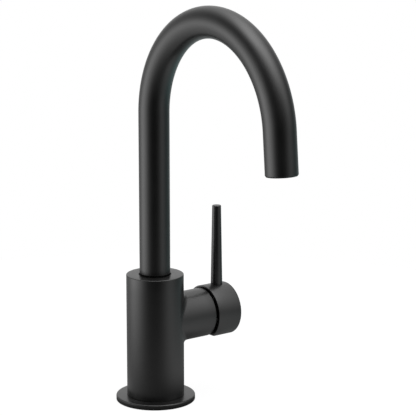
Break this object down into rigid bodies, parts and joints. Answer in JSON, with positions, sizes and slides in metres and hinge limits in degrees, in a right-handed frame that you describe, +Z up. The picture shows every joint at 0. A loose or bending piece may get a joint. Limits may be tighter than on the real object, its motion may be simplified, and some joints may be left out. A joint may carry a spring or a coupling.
{
  "type": "gooseneck bar faucet",
  "caption": "Single-hole gooseneck bar faucet in matte black: round body on a flange, swivelling arched tube spout and a side branch with a cup handle and upright lever.",
  "frame": {"origin": "centre of the base on the deck", "axes": "+Z up; the spout reaches along -Y at rest; the handle's branch runs along +X"},
  "size_m": [0.1053, 0.2064, 0.3771],
  "materials": {
    "matte_black": "matte powder coat",
    "black_plastic": "matte",
    "brass": "machined",
    "steel": "bright",
    "rubber": "matte",
    "resin": "moulded",
    "ceramic": "lapped"
  },
  "bodies": {
    "fixed_body": {"base_gasket": "rubber", "base_flange": "matte_black", "body": "matte_black", "mounting_shank": "brass", "rubber_washer": "rubber", "clamp_washer": "steel", "mounting_nut": "brass", "lock_screws": "steel", "thrust_washer": "resin", "glide_ring": "rubber", "spout_screw": "steel", "cartridge_base": "resin", "base_seals": "rubber", "fixed_disc": "ceramic", "cartridge_housing": "resin", "bonnet_nut": "brass", "dome_ring": "black_plastic"},
    "swing_spout": {"spout_tube": "matte_black", "spout_hub": "brass", "spout_seals": "rubber", "aerator_housing": "black_plastic", "aerator_insert": "resin", "aerator_screen": "steel", "aerator_washer": "rubber"},
    "turning_carrier": {"stem_carrier": "resin", "pivot_pin": "steel"},
    "lever_handle": {"cartridge_stem": "brass", "handle_cup": "matte_black", "lever_rod": "matte_black", "handle_screw": "steel", "screw_plug": "matte_black"},
    "mixing_disc": {"moving_disc": "ceramic", "disc_carrier": "resin"}
  },
  "joints": [
    {"name": "spout_swivel", "type": "hinge", "parent": "fixed_body", "child": "swing_spout", "pos_m": [0, 0, 0.076], "axis": [0, 0, 1], "continuous": true},
    {"name": "handle_turn", "type": "hinge", "parent": "fixed_body", "child": "turning_carrier", "pos_m": [0, 0, 0.066], "axis": [1, 0, 0], "range_deg": [-45, 45]},
    {"name": "handle_tilt", "type": "hinge", "parent": "turning_carrier", "child": "lever_handle", "pos_m": [0.0445, 0, 0.066], "axis": [0, 1, 0], "range_deg": [0, 25]},
    {"name": "disc_slide", "type": "slide", "parent": "turning_carrier", "child": "mixing_disc", "axis": [0, 0, 1], "range_m": [0, 0.0034]}
  ],
  "couplings": [
    {"joint": "disc_slide", "follows": "handle_tilt", "m_per_rad": 0.00745}
  ]
}
